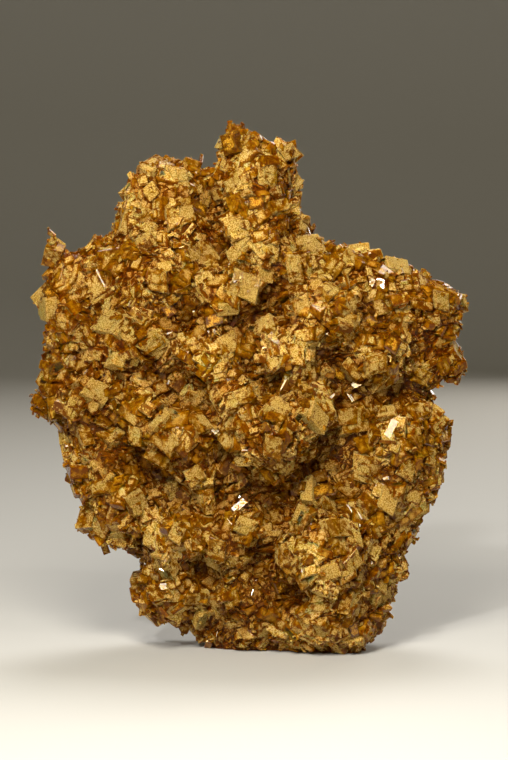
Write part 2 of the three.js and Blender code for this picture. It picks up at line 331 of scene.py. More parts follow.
def dressed(data: bpy.types.Mesh, finish: bpy.types.Material, values: dict[Trait, object]) -> bpy.types.Object:
    """Makes a piece, named as its mesh is.

    Args:
        data: the piece's mesh.
        finish: its material.
        values: for each trait, one number or one for each point.

    Returns:
        The piece, in the scene.
    """
    for trait, numbers in values.items():
        every = np.full(len(data.vertices), numbers)
        data.attributes.new(trait.value, "FLOAT", "POINT").data.foreach_set("value", every)
    data.materials.append(finish)
    return placed(data)


class BaryteSurface(Sheet):
    """The shader group that all of baryte's finishes share.

    Each finish gives it colours and values. It puts out a colour, a roughness, a height and where frost is.
    """

    NAME = "baryte surface"
    COLOURS = ("sand_light", "sand_mid", "sand_dark", "amber_light", "amber_mid", "amber_deep", "crevice")
    VALUES = ("crevice_depth", "smooth", "matt", "grain", "cloud", "mosaic", "seam", "step", "lean")

    PATCH_SIZE = 9.0  # how many clouds wide the widest patches are
    BEND_RATE, BEND_REACH = 0.3, 5.0  # how often and how far the mosaic is bent, in its own cells
    SEAM_WIDTH: Span = (0.02, 0.16)
    FROST_EDGE: Span = (0.28, 0.64)
    SANDED_TINTS: Span = (0.30, 0.36)  # crystals below these are frosted on their sides too
    SANDED_FROST = 0.35
    FROSTED_TINTS: Span = (0.0, 0.8)
    BARE_TINTS: Span = (0.80, 0.90)  # crystals above these have no frost
    PATCH_FROST: Span = (-0.16, 0.14)
    RIM: Span = (30 * MM, 46 * MM)  # from the middle to the sides, which have less frost
    RIM_FROST = -0.16
    SPECKS: Span = (0.42, 0.58)
    DEPTHS: Span = (0.34, 0.66)
    DEEPEST = 0.72
    INNER: Span = (0.1, 0.9)
    # painted shade at the edges and base of an amber crystal, and a painted glow towards the middle of its
    # faces
    INWARD: Span = (-0.22, 0.3)  # how much darker and lighter amber is at a crystal's edge and middle
    # between the domes the painted crevice shade is stronger: a point keeps only this share of its clearance
    # from it
    VALLEY_OPEN = 0.6
    PATCH_SHADE: Span = (0.82, 1.12)
    # painted light on top of the domes and painted shade in the valleys between them
    DOME_SHADE: Span = (1.12, 0.80)
    GLINTS: Span = (0.58, 0.66)  # the grain's highest points are smoother
    GLINT_SMOOTH = -0.45
    BARE_RELIEF = 0.25
    GREY: Colour = (0.5, 0.5, 0.5)

    def __init__(self) -> None:
        """Makes the group's sockets, and the patterns that all its parts read."""
        super().__init__(bpy.data.node_groups.new(self.NAME, "ShaderNodeTree"))
        self.declare(
            INPUT=dict.fromkeys(self.COLOURS, "Color") | dict.fromkeys(self.VALUES, "Float"),
            OUTPUT={"colour": "Color", "roughness": "Float", "height": "Float", "frost": "Float"},
        )
        self.place = self.out("ShaderNodeTexCoord", "Object")
        self.frost, self.tint, self.proud, self.valley = (
            self.out("ShaderNodeAttribute", "Fac", attribute_name=trait.value)
            for trait in (Trait.FROST, Trait.TINT, Trait.PROUD, Trait.VALLEY)
        )
        self.grain = self.noise(self.place, self["grain"], detail=2.0)
        self.cloud = self.noise(self.place, self["cloud"], detail=4.0)
        self.wide = self.noise(self.place, self.product(self["cloud"], self.PATCH_SIZE), detail=1.0)
        mosaic = self["mosaic"]
        values = {"Vector": self.place, "Scale": self.maths("DIVIDE", self.BEND_RATE, mosaic), "Detail": 1.0}
        bend = self.out("ShaderNodeTexNoise", "Color", values)
        bend = self.vectors("SCALE", bend, self.product(mosaic, self.BEND_REACH))
        self.bent = self.vectors("ADD", self.place, bend)
        self.nearest, second = (self.cells(feature) for feature in ("F1", "F2"))
        gap = self.maths("SUBTRACT", self.find(second, "Distance"), self.find(self.nearest, "Distance"))
        self.seam = self.span(gap, *self.SEAM_WIDTH, self["seam"], 0.0)
        self.of_cell = self.split(self.find(self.nearest, "Color"))

    def cells(self, feature: str) -> Sockets:
        """Lays out the mosaic of small intergrown crystals, and gives the nearest or next one's values."""
        values = {"Vector": self.bent, "Scale": self.maths("DIVIDE", 1.0, self["mosaic"])}
        return self.add("ShaderNodeTexVoronoi", values, feature=feature, distance="CHEBYCHEV").outputs

    def frosted(self) -> Socket:
        """Says where the surface is frosted.

        Returns:
            A mask, 1 where it is.
        """
        ragged = self.total(
            self.swing(self.cloud, USUAL, reach=0.35),
            self.swing(self.grain, USUAL, reach=0.08),
            self.swing(self.of_cell[0], WHOLE, reach=0.2),
        )
        sanded = self.span(self.tint, *self.SANDED_TINTS, self.SANDED_FROST, 0.0)
        aside = self.maths("ABSOLUTE", self.split(self.place)[0])
        rim = self.span(aside, *self.RIM, 0.0, self.RIM_FROST)
        patch = self.total(self.span(self.wide, *CORE, *self.PATCH_FROST), rim)
        frosted = self.span(self.total(self.frost, ragged, self.total(sanded, patch)), *self.FROST_EDGE)
        return self.product(frosted, self.span(self.tint, *self.BARE_TINTS, 1.0, 0.0))

    def three(self, pick: Socket, low: str, middle: str, high: str) -> Socket:
        """Picks from three of the finish's colours, mixing the two on either side."""
        lower = self.mix(self.span(pick, 0.0, 0.5), self[low], self[middle])
        return self.mix(self.span(pick, 0.5, 1.0), lower, self[high])

    def colour(self, frosted: Socket) -> Socket:
        """Colours the surface: speckled sand, deep and light amber, painted shade in crevices and between the
        domes, and painted light on top of the domes.

        Args:
            frosted: where the sand is.

        Returns:
            The colour.
        """
        tone = self.total(
            self.swing(self.tint, self.FROSTED_TINTS, reach=0.1),
            self.swing(self.of_cell[1], WHOLE, reach=0.06),
        )
        specks = self.total(self.span(self.grain, *self.SPECKS), self.swing(self.cloud, USUAL, reach=0.08))
        sand = self.three(self.total(specks, tone), "sand_dark", "sand_mid", "sand_light")
        depths = self.span(self.cloud, *self.DEPTHS, 0.0, self.DEEPEST)
        depths = self.total(depths, self.swing(self.grain, USUAL, reach=0.14))
        # painted shade at the crystals' edges and a painted glow towards their middles
        inward = self.span(self.frost, *self.INNER, *self.INWARD)
        amber = self.three(self.total(depths, tone, inward), "amber_deep", "amber_mid", "amber_light")
        colour = self.mix(frosted, amber, sand)
        # Painted shade: the colour is multiplied by the crevice colour close to the crust, more so between the
        # domes, and along the mosaic's seams.
        clear_of_painted_shade = self.product(
            self.maths("DIVIDE", self.proud, self["crevice_depth"], clamp=True),
            self.span(self.valley, *WHOLE, 1.0, self.VALLEY_OPEN),
            self.maths("SUBTRACT", 1.0, self.seam),
        )
        colour = self.mix(clear_of_painted_shade, self.mix(1.0, colour, self["crevice"], "MULTIPLY"), colour)
        # Random patches of lighter and darker tone, times painted light on top of the domes and painted shade
        # between them.
        shade = self.product(
            self.span(self.wide, *CORE, *self.PATCH_SHADE), self.span(self.valley, -1.0, 1.0, *self.DOME_SHADE)
        )
        grey = self.out("ShaderNodeCombineColor", "Color", {"Red": shade, "Green": shade, "Blue": shade})
        return self.mix(1.0, colour, grey, "MULTIPLY")

    def roughness(self, frosted: Socket) -> Socket:
        """Makes the frost matt, apart from the glints of its grain, and the rest smooth.

        Args:
            frosted: where the frost is.

        Returns:
            The roughness.
        """
        smooth = self["smooth"]
        glints = self.span(self.grain, *self.GLINTS, 0.0, self.GLINT_SMOOTH)
        rough = self.total(self.span(frosted, *WHOLE, smooth, self["matt"]), glints)
        return self.maths("MAXIMUM", rough, smooth)

    def height(self, frosted: Socket) -> Socket:
        """Raises the grain, and steps and tilts the mosaic's crystals.

        Args:
            frosted: where the grain is highest.

        Returns:
            The height.
        """
        grainy = self.product(self.grain, self.span(frosted, *WHOLE, self.BARE_RELIEF, 1.0))
        stepped = self.total(grainy, self.span(self.of_cell[2], *WHOLE, 0.0, self["step"]))
        away = self.vectors("SUBTRACT", self.bent, self.find(self.nearest, "Position"))
        away = self.vectors("SCALE", away, self.maths("DIVIDE", self["lean"], self["mosaic"]))
        side = self.vectors("SUBTRACT", self.find(self.nearest, "Color"), self.GREY)
        return self.total(self.maths("SUBTRACT", stepped, self.seam), self.vectors("DOT_PRODUCT", away, side))

    @classmethod
    def group(cls) -> bpy.types.NodeTree:
        """Makes the group the first time, and gives it every time.

        Returns:
            The group.
        """
        if cls.NAME not in bpy.data.node_groups:
            made = cls()
            frost = made.frosted()
            values = {"frost": frost, "colour": made.colour(frost)}
            values |= {"roughness": made.roughness(frost), "height": made.height(frost)}
            made.add("NodeGroupOutput", values)
        return bpy.data.node_groups[cls.NAME]


@dataclass(frozen=True)
class BaryteFinish:
    """Baryte's finish: frosted tan on the flat faces, smooth amber on the edges.

    The colours are linear and the sizes are in metres.

    Attributes:
        crevice, crevice_depth: the painted shade that a crevice multiplies the colour by, and how deep one is.
        grain, cloud, mosaic: how large specks, blotches and intergrown crystals are.
        seam, step, lean: how deep the seams between these crystals are, which also take the painted crevice
            shade, and how they step and tilt.
        glow, glow_reach, glow_size: the light that spreads under the surface.
        gloss, shine, wet: the reflection's tint and strength, and the clear coat on the amber.
        clear, passed, density: how see-through it is, and its absorption.
    """

    name: str
    sand_light: Colour = (0.50, 0.348, 0.135)
    sand_mid: Colour = (0.46, 0.293, 0.062)
    sand_dark: Colour = (0.25, 0.128, 0.009)
    amber_light: Colour = (0.39, 0.198, 0.012)
    amber_mid: Colour = (0.215, 0.087, 0.0010)
    amber_deep: Colour = (0.10, 0.0240, 0.0004)
    crevice: Colour = (0.56, 0.29, 0.033)
    crevice_depth: float = 1.1 * MM
    smooth: float = 0.07
    matt: float = 0.85
    grain: float = 0.32 * MM
    cloud: float = 1.1 * MM
    mosaic: float = 0.75 * MM
    seam: float = 0.03
    step: float = 0.08
    lean: float = 0.6
    grain_height: float = 0.08 * MM
    glow: float = 1.0
    glow_reach: Colour = (1.0, 0.68, 0.45)
    glow_size: float = 1.0 * MM
    gloss: Colour = (1.0, 0.68, 0.10)
    shine: float = 0.08
    wet: float = 0.28
    clear: float = 0.0
    passed: Colour = (0.93, 0.66, 0.02)
    density: float = 420.0

    IOR = 1.64
    WET_FROST: Span = (0.0, 0.5)  # the coat ends where the frost is this strong

    def material(self) -> bpy.types.Material:
        """Makes the material.

        Returns:
            The finished material, ready to be set on a mesh.
        """
        made = bpy.data.materials.new(self.name)
        made.use_nodes = True
        tree = made.node_tree
        sheet = Sheet(tree)
        surface = sheet.add("ShaderNodeGroup", node_tree=BaryteSurface.group())
        for socket in surface.inputs:
            value = getattr(self, socket.name)
            socket.default_value = solid(value) if socket.name in BaryteSurface.COLOURS else value
        surface = surface.outputs
        relief = {"Height": surface["height"], "Distance": self.grain_height, "Strength": 1.0}
        shader = tree.nodes["Principled BSDF"]
        constants = {
            "IOR": self.IOR,
            "Specular IOR Level": self.shine,
            "Specular Tint": solid(self.gloss),
            "Subsurface Weight": self.glow,
            "Subsurface Radius": self.glow_reach,
            "Subsurface Scale": self.glow_size,
            "Transmission Weight": self.clear,
        }
        for name, value in constants.items():
            shader.inputs[name].default_value = value
        if self.clear:
            values = {"Color": solid(self.passed), "Density": self.density}
            depth = sheet.out("ShaderNodeVolumeAbsorption", "Volume", values)
            tree.links.new(depth, tree.nodes["Material Output"].inputs["Volume"])
        links = {
            "Base Color": surface["colour"],
            "Roughness": surface["roughness"],
            "Normal": sheet.out("ShaderNodeBump", "Normal", relief),
            "Coat Weight": sheet.span(surface["frost"], *self.WET_FROST, self.wet, 0.0),
        }
        for name, socket in links.items():
            tree.links.new(socket, shader.inputs[name])
        return made


@dataclass(frozen=True)
class Tablet:
    """The proportions of one tabular crystal that is a unit wide."""

    habit: Habit
    thickness: float = 0.6
    chamfer: float = 0.06
    taper: float = 0.95
    lower_chamfer: bool = False

    def add_to(self, mesh: bmesh.types.BMesh, place: Matrix, rim_frost: float) -> None:
        """Adds the tablet to a mesh as a closed form.

        Args:
            mesh: the mesh that it is added to.
            place: where it goes and how large it is.
            rim_frost: the frost at the border of its flat faces, where the middle has 1.
        """
        frost = mesh.verts.layers.float[Trait.FROST.value]
        half = self.thickness / 2
        rings = [(-half, 1.0)]
        if self.lower_chamfer:
            rings = [(-half, 1.0 - 2 * self.chamfer), (-half + self.chamfer, 1.0)]
        if self.chamfer:
            rings.append((half - self.chamfer, self.taper))
        rings.append((half, self.taper - 2 * self.chamfer))
        loops = [
            [mesh.verts.new(place @ Vector((x * scale, y * scale, z))) for x, y in self.habit.value]
            for z, scale in rings
        ]
        count = len(self.habit.value)
        for lower, upper in zip(loops, loops[1:]):
            for i in range(count):
                j = (i + 1) % count
                mesh.faces.new((lower[i], lower[j], upper[j], upper[i]))
        if self.lower_chamfer:
            self.close(mesh, loops[0], place @ Vector((0.0, 0.0, -half)), False)
        else:
            mesh.faces.new(list(reversed(loops[0])))
        self.close(mesh, loops[-1], place @ Vector((0.0, 0.0, half)), True)
        for corner in loops[-1] + (loops[0] if self.lower_chamfer else []):
            corner[frost] = rim_frost

    @staticmethod
    def close(mesh: bmesh.types.BMesh, loop: list[bmesh.types.BMVert], middle: Vector, upper: bool) -> None:
        """Closes a loop by a fan about a frosted middle point.

        Args:
            mesh: the mesh that the loop is in.
            loop: the corners of one end of a tablet.
            middle: where the middle point goes.
            upper: whether it is the upper end.
        """
        point = mesh.verts.new(middle)
        point[mesh.verts.layers.float[Trait.FROST.value]] = 1.0
        for i, corner in enumerate(loop):
            beside = loop[(i + 1) % len(loop)]
            mesh.faces.new((corner, beside, point) if upper else (beside, corner, point))


@dataclass
class CrystalPatterns:
    """The few crystals that every coat repeats, a unit wide, with frosted flat faces.

    The sizes and places of the steps on the blocks are drawn between limits, as shares of the block.
    """

    rim_frost: float = 0.2
    block_kinds: int = 8
    most_steps: int = 2
    step_shift: Span = (-0.3, 0.3)
    step_rise: Span = (0.06, 0.22)
    step_width: Span = (0.45, 0.8)
    step_height: Span = (0.5, 0.9)
    seed: int = 5

    def collect(self, name: str, crystals: list[list[tuple[Tablet, Matrix]]]) -> bpy.types.Collection:
        """Makes a collection of crystals, which isn't part of the scene.

        Args:
            name: the collection's name.
            crystals: for each crystal, its tablets and their places.

        Returns:
            The collection.
        """
        group = bpy.data.collections.new(name)
        for i, parts in enumerate(crystals):
            mesh = bmesh.new()
            mesh.verts.layers.float.new(Trait.FROST.value)
            for tablet, place in parts:
                tablet.add_to(mesh, place, self.rim_frost)
            data = mesh_data(f"{name} {i}", mesh)
            group.objects.link(bpy.data.objects.new(data.name, data))
        return group

    def single(self, name: str, **sizes: float) -> bpy.types.Collection:
        """Makes one plain tablet of each habit."""
        return self.collect(name, [[(Tablet(habit, **sizes), Matrix.Identity(4))] for habit in Habit])

    def grains(self) -> bpy.types.Collection:
        """The smallest crystals: plain tablets."""
        return self.single("grains", thickness=0.34, chamfer=0.0, taper=0.88)

    def tablets(self) -> bpy.types.Collection:
        """Single tablets with chamfered edges."""
        return self.single("tablets", thickness=0.3, chamfer=0.05)

    def blocks(self) -> bpy.types.Collection:
        """Makes thick crystals, most of them stepped by smaller ones that grew in parallel.

        Returns:
            The collection of them.
        """
        draw = random.Random(self.seed)
        habits = list(Habit)
        crystals = []
        for i in range(self.block_kinds):
            block = Tablet(habits[i % len(habits)], thickness=0.48, chamfer=0.05, lower_chamfer=True)
            parts = [(block, Matrix.Identity(4))]
            for _ in range(i % (self.most_steps + 1)):
                limits = (self.step_shift, self.step_shift, self.step_rise)
                shift = Matrix.Translation([draw.uniform(*each) for each in limits])
                width = draw.uniform(*self.step_width)
                scale = Matrix.Diagonal((width, width, draw.uniform(*self.step_height), 1.0))
                parts.append((Tablet(draw.choice(habits)), shift @ scale))
            crystals.append(parts)
        return self.collect("blocks", crystals)


def direction(edge: bmesh.types.BMEdge) -> Vector:
    """Which way an edge runs."""
    return (edge.verts[1].co - edge.verts[0].co).normalized()


def reach(face: bmesh.types.BMFace, axis: Vector) -> Span:
    """How far a face reaches along an axis, from its first corner to its last."""
    places = [vert.co.dot(axis) for vert in face.verts]
    return min(places), max(places)


@dataclass
class FrameFaces:
    """The flat faces of the frame's solid, read as what they are on the real specimen."""

    plate_least: float = 2.7 * MM
    sharp: float = math.radians(55)
    outer_share: float = 0.4
    flat: float = math.radians(0.6)
    weld: float = 0.001 * MM
    break_area: float = 55 * MM * MM
    foot_height: float = 0.02 * MM
    mesh: bmesh.types.BMesh = field(init=False)
    regions: dict[bmesh.types.BMFace, Region] = field(init=False)

    def __post_init__(self) -> None:
        """Reads the frame's solid and sorts its faces."""
        self.mesh = bmesh.new()
        self.mesh.from_mesh(frame["nodes"][CLUSTER].data)
        bmesh.ops.remove_doubles(self.mesh, verts=self.mesh.verts, dist=self.weld)
        borders = {"verts": self.mesh.verts, "edges": self.mesh.edges}
        bmesh.ops.dissolve_limit(self.mesh, angle_limit=self.flat, **borders)
        self.mesh.normal_update()
        self.regions = {face: self.region_of(face) for face in self.mesh.faces}

    def region_of(self, face: bmesh.types.BMFace) -> Region:
        """Says what a flat face of the surface stands for.

        Args:
            face: a face whose coplanar neighbours have been dissolved into it.

        Returns:
            Its region.
        """
        if max(v.co.z for v in face.verts) < self.foot_height:
            return Region.FOOT
        if face.calc_area() > self.break_area:
            return Region.BREAK
        around = sum(edge.calc_length() for edge in face.edges)
        outer = sum(
            edge.calc_length()
            for edge in face.edges
            if len(edge.link_faces) == 2 and edge.calc_face_angle_signed(0.0) > self.sharp
        )
        if outer < self.outer_share * around:
            return Region.CRUST
        return Region.PLATE_FACE if self.least_width(face) > self.plate_least else Region.PLATE_RIM

    @staticmethod
    def least_width(face: bmesh.types.BMFace) -> float:
        """How narrow a flat face is, measured across each of its edges."""
        reaches = [reach(face, face.normal.cross(direction(edge))) for edge in face.edges]
        return min(high - low for low, high in reaches)

    def plate_places(self) -> list[tuple[Matrix, Vector]]:
        """Finds where the solid has its largest crystals.

        Returns:
            For each, its middle and axes as a matrix whose Z points out of the flat face, and its length and
            width along X and Y.
        """
        wide = [face for face, region in self.regions.items() if region is Region.PLATE_FACE]
        wide = [face for face in wide if min(vert.co.z for vert in face.verts) > self.plate_least]
        wide.sort(key=lambda face: -face.calc_area())
        taken = set()
        found = []
        for face in wide:
            if any(beside in taken for edge in face.edges for beside in edge.link_faces):
                continue
            taken.add(face)
            along = direction(max(face.edges, key=lambda edge: edge.calc_length()))
            across = face.normal.cross(along)
            (left, right), (near, far) = reach(face, along), reach(face, across)
            height = face.verts[0].co.dot(face.normal)
            middle = along * (left + right) / 2 + across * (near + far) / 2 + face.normal * height
            axes = Matrix((along, across, face.normal)).transposed().to_4x4()
            found.append((Matrix.Translation(middle) @ axes, Vector((right - left, far - near))))
        return found


def relaxed(points: np.ndarray, edges: np.ndarray, steps: int) -> np.ndarray:
    """Smooths a mesh by moving each corner half way to the middle of its neighbours.

    Args:
        points: the corners' places, one a row.
        edges: the pairs of corners that are joined.
        steps: how many times this is done.

    Returns:
        The new places.
    """
    count = np.bincount(edges.ravel(), minlength=len(points))[:, None]
    for _ in range(steps):
        total = np.zeros_like(points)
        np.add.at(total, edges[:, 0], points[edges[:, 1]])
        np.add.at(total, edges[:, 1], points[edges[:, 0]])
        points = 0.5 * points + 0.5 * total / count
    return points


@dataclass
class Crust:
    """The body of the specimen, which the crystals grow on: the frame's solid without its tablets.

    The fields that end in off are steps of smoothing, and finer is the smaller facets' share of facet.
    """

    voxel: float = 1.2 * MM
    tablets_off: int = 16
    form_off: int = 160
    border_off: int = 4
    relief: float = 0.25
    relief_limit: float = 1.6 * MM
    room: float = 1.2 * MM
    valley_depth: float = 1.3 * MM
    foot_snap: float = 1.4 * MM
    facet: float = 8.0 * MM
    finer: float = 0.4
    facet_lean: float = 0.3
    break_frost: float = 0.45
    seed: int = 3

    LESS_GROWTH = {Region.BREAK: 0.1, Region.FOOT: 0.0}  # all else has 1

    def rough_body(self, faces: FrameFaces) -> bpy.types.Mesh:
        """Turns the frame's solid into an even mesh of small squares.

        Args:
            faces: the frame's faces.

        Returns:
            The mesh, named as the crust's piece.
        """
        data = bpy.data.meshes.new("rough body")
        faces.mesh.to_mesh(data)
        carrier = placed(data)
        modifier = carrier.modifiers.new("squares", "REMESH")
        modifier.mode = "VOXEL"
        modifier.voxel_size = self.voxel
        return evaluated(carrier, "druse_mass")

    def fractured(self, points: np.ndarray, where: np.ndarray, size: float, seed: int) -> np.ndarray:
        """Breaks a surface into leaning facets, as baryte cleaves.

        Args:
            points: the mesh's points.
            where: how far each point lies on the broken side, from 0 to 1.
            size: how far apart the facets are.
            seed: of the random draws.

        Returns:
            How far each point moves outwards.
        """
        draw = np.random.default_rng(seed)
        inside = np.flatnonzero(where > 0.5)
        count = max(1, int(len(inside) * (self.voxel / size) ** 2))
        middles = points[draw.choice(inside, count, replace=False)]
        leans = draw.uniform(-self.facet_lean, self.facet_lean, (count, 3))
        distances = np.linalg.norm(points[:, None, :] - middles[None, :, :], axis=2)
        own = distances.argmin(axis=1)
        return where * np.einsum("ij,ij->i", points - middles[own], leans[own])

    def build(self, faces: FrameFaces, finish: bpy.types.Material) -> bpy.types.Object:
        """Makes the crust.

        Args:
            faces: the frame's faces.
            finish: its material.

        Returns:
            The crust's object, with the values that the coats read.
        """
        data = self.rough_body(faces)
        start = np.array([vert.co for vert in data.vertices])
        edges = np.array([tuple(edge.vertices) for edge in data.edges])
        even = relaxed(start, edges, self.tablets_off)
        form = relaxed(even, edges, self.form_off)
        data.vertices.foreach_set("co", even.ravel())
        normals = np.array([normal.vector for normal in data.vertex_normals])
        tree = BVHTree.FromBMesh(faces.mesh)
        faces.mesh.faces.ensure_lookup_table()
        nearest = [faces.regions[faces.mesh.faces[tree.find_nearest(point)[2]]] for point in start]
        broken = [float(region is Region.BREAK) for region in nearest]
        grow = [self.LESS_GROWTH.get(region, 1.0) for region in nearest]
        broken, grow = relaxed(np.array((broken, grow)).T, edges, self.border_off).T
        rise = np.einsum("ij,ij->i", even - form, normals)
        lift = np.clip(self.relief * rise, -self.relief_limit, self.relief_limit) - self.room
        lift += self.fractured(even, broken, self.facet, self.seed)
        lift += self.fractured(even, broken, self.finer * self.facet, self.seed + 1)
        ready = even + normals * lift[:, None]
        ready[:, 2] = np.where(ready[:, 2] < self.foot_snap, 0.0, ready[:, 2])
        data.vertices.foreach_set("co", ready.ravel())
        data.update()
        values = {
            Trait.FROST: self.break_frost * broken,
            Trait.TINT: MIDDLE_TINT,
            # the crust takes the full painted crevice shade, apart from its broken faces
            Trait.PROUD: FREE * broken,
            Trait.VALLEY: np.clip(-rise / self.valley_depth, -1.0, 1.0),
            Trait.GROW: grow,
        }
        return dressed(data, finish, values)


@dataclass
class LargePlates:
    """The largest crystals, each where the frame's solid has it, stepped and framed by amber edges.

    The steps' size and shift are shares of the plate, and their rise is in millimetres.
    """

    depth: float = 2.6 * MM
    sink: float = 0.25 * MM
    length_share: float = 0.86
    width_share: float = 0.98
    chamfer: float = 0.3 * MM
    taper: float = 0.97
    rim_frost: float = 0.25
    least_frost: float = 0.4
    steps: tuple[int, ...] = (0, 1, 1, 2)
    step_size: Span = (0.35, 0.7)
    step_shift: Span = (-0.3, 0.3)
    step_rise: Span = (0.1, 0.5)
    tints: Span = (0.15, 0.75)
    seed: int = 17

    def build(self, faces: FrameFaces, finish: bpy.types.Material) -> bpy.types.Object:
        """Makes all of them as one piece.

        Args:
            faces: the frame's faces.
            finish: their material.

        Returns:
            The plates' object.
        """
        mesh = bmesh.new()
        layers = mesh.verts.layers.float
        for trait in (Trait.FROST, Trait.TINT):
            layers.new(trait.value)
        frost, tint = layers[Trait.FROST.value], layers[Trait.TINT.value]
        draw = random.Random(self.seed)
        for place, size in faces.plate_places():
            known = len(mesh.verts)
            down = Matrix.Translation((0.0, 0.0, -self.depth / 2 - self.sink))
            scale = Matrix.Diagonal((size.x * self.length_share, size.y * self.width_share, self.depth, 1.0))
            form = partial(Tablet, thickness=1.0, chamfer=self.chamfer / min(size), taper=self.taper)
            form(Habit.RHOMB).add_to(mesh, place @ down @ scale, self.rim_frost)
            for _ in range(draw.choice(self.steps)):
                part = draw.uniform(*self.step_size)
                x, y = (draw.uniform(*self.step_shift) * side for side in size)
                lift = Matrix.Translation((x, y, draw.uniform(*self.step_rise) * MM))
                less = Matrix.Diagonal((part, part, 1.0, 1.0))
                habit = draw.choice((Habit.RHOMB, Habit.CLIPPED))
                form(habit).add_to(mesh, place @ lift @ down @ scale @ less, self.rim_frost)
            mesh.verts.ensure_lookup_table()
            shade = draw.uniform(*self.tints)
            for i in range(known, len(mesh.verts)):
                mesh.verts[i][tint] = shade
                mesh.verts[i][frost] = max(mesh.verts[i][frost], self.least_frost)
        return dressed(mesh_data("large_plates", mesh), finish, {Trait.PROUD: FREE})


@dataclass
class ClearCrystals:
    """The clear amber crystals, each seated on the front of the crust.

    The spots are places across and up the front, and widths, in millimetres. The other sizes are shares of the
    width, apart from where the search for a seat starts.
    """

    spots: tuple[tuple[float, float, float], ...] = (
        (-7.5, 74.5, 4.6), (26.5, 74.0, 3.6), (30.8, 68.5, 3.8), (-44.0, 79.5, 3.4), (37.6, 62.6, 3.2),
        (-3.6, 112.6, 5.2), (1.6, 99.4, 4.0), (8.0, 88.0, 3.4), (-17.8, 76.4, 3.4), (-16.8, 28.4, 3.8),
        (6.4, 15.6, 3.6), (15.0, 35.6, 4.6), (-9.2, 46.6, 3.2), (-18.6, 52.4, 3.6), (38.8, 47.0, 3.6),
        (-30.8, 24.0, 3.8), (3.8, 46.2, 3.4), (-43.6, 50.0, 3.2), (-45.4, 57.4, 3.6), (12.9, 55.6, 4.4),
        (26.4, 15.4, 3.2), (9.2, 20.0, 3.8), (-23.0, 17.0, 3.4), (-26.0, 38.6, 3.2), (-11.8, 98.0, 4.2),
        (-36.8, 88.6, 3.2), (20.2, 62.2, 3.0), (-2.4, 33.0, 3.0), (-28.4, 97.0, 3.2), (22.4, 6.6, 3.4),
    )
    start: float = -1.0
    depth: float = 0.5
    chamfer: float = 0.07
    taper: float = 0.94
    narrowness: Span = (0.6, 0.9)
    # where the clear finish's painted glow fades out at a crystal's rim
    rim_frost: float = 0.1
    sink: float = 0.12
    lean: float = math.radians(32)
    seed: int = 29

    def build(self, crust: bpy.types.Object, finish: bpy.types.Material) -> bpy.types.Object:
        """Makes all of them as one piece.

        Args:
            crust: what they are seated on.
            finish: their material.

        Returns:
            The crystals' object.
        """
        mesh = bmesh.new()
        mesh.verts.layers.float.new(Trait.FROST.value)
        draw = random.Random(self.seed)
        habits = list(Habit)
        tree = BVHTree.FromPolygons(
            [vert.co for vert in crust.data.vertices], [tuple(face.vertices) for face in crust.data.polygons]
        )
        for x, z, width in self.spots:
            seat, normal, _, _ = tree.ray_cast(Vector((x * MM, self.start, z * MM)), Vector((0.0, 1.0, 0.0)))
            if seat is None:
                seat, normal, _, _ = tree.find_nearest(Vector((x * MM, 0.0, z * MM)))
            facing = normal.to_track_quat("Z", "Y").to_matrix().to_4x4()
            spin = Matrix.Rotation(draw.uniform(0.0, math.tau), 4, "Z")
            tilt = Matrix.Rotation(draw.uniform(-self.lean, self.lean), 4, draw.choice("XY"))
            size = Matrix.Diagonal((width * MM, width * MM * draw.uniform(*self.narrowness), width * MM, 1.0))
            place = Matrix.Translation(seat + normal * self.sink * width * MM) @ facing @ spin @ tilt @ size
            form = Tablet(draw.choice(habits), self.depth, self.chamfer, self.taper, lower_chamfer=True)
            form.add_to(mesh, place, self.rim_frost)
        values = {Trait.TINT: MIDDLE_TINT, Trait.PROUD: FREE}
        return dressed(mesh_data("clear_crystals", mesh), finish, values)


